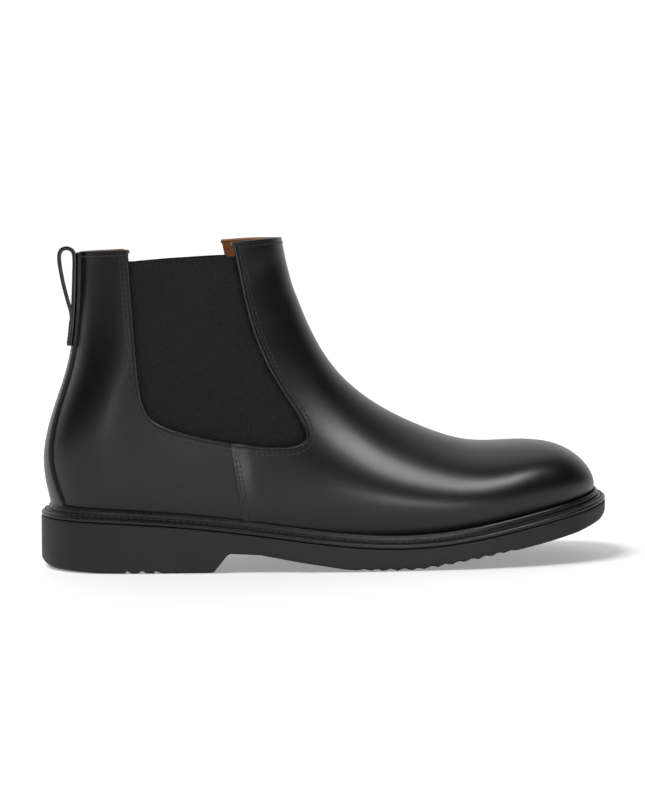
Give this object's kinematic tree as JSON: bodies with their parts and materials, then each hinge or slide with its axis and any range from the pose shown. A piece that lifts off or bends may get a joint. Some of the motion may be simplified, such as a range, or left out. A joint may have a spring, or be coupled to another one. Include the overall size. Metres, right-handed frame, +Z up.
{
  "type": "chelsea boot",
  "caption": "Ankle boot with elastic side gores, a rear pull loop, a storm welt and a moulded rubber unit sole.",
  "frame": {"origin": "middle of the boot's box, on the ground under the sole", "axes": "+X from heel to toe, -Y to the lateral side, +Z up the shaft"},
  "size_m": [0.3072, 0.0972, 0.173],
  "materials": {
    "black_calf": "smooth, satin polish",
    "strap_calf": "smooth, with cut edges",
    "elastic_webbing": "fine ribbed elastic, matte",
    "tan_lining": "smooth, low sheen",
    "counter_board": "pressed fibre board, matte",
    "stiffening_fabric": "impregnated cloth, matte",
    "insole_fibre": "cellulose fibre board, matte",
    "pad_foam": "soft foam, matte",
    "cork_filler": "ground cork, matte",
    "shank_steel": "spring steel",
    "welt_rubber": "moulded, satin",
    "black_thread": "waxed thread",
    "sole_rubber": "moulded, matte"
  },
  "bodies": {
    "boot": {"vamp": "black_calf", "quarter_lateral": "black_calf", "quarter_medial": "black_calf", "backstay": "black_calf", "gore_lateral": "elastic_webbing", "gore_medial": "elastic_webbing", "heel_counter": "counter_board", "toe_puff": "stiffening_fabric", "topline_tape_front": "stiffening_fabric", "topline_tape_rear": "stiffening_fabric", "vamp_lining": "tan_lining", "quarter_lining": "tan_lining", "insole_board": "insole_fibre", "heel_pad": "pad_foam", "sock_liner": "tan_lining", "bottom_filler": "cork_filler", "shank": "shank_steel", "welt": "welt_rubber", "welt_stitching": "black_thread", "outsole": "sole_rubber", "pull_loop_foot": "strap_calf"},
    "pull_loop": {"pull_loop": "strap_calf"}
  },
  "joints": [
    {"name": "pull_loop_swing", "type": "hinge", "parent": "boot", "child": "pull_loop", "pos_m": [-0.139, -0.0004, 0.131], "axis": [0, -1, 0], "range_deg": [0, 60], "stiffness_Nm_per_rad": 0.003}
  ]
}
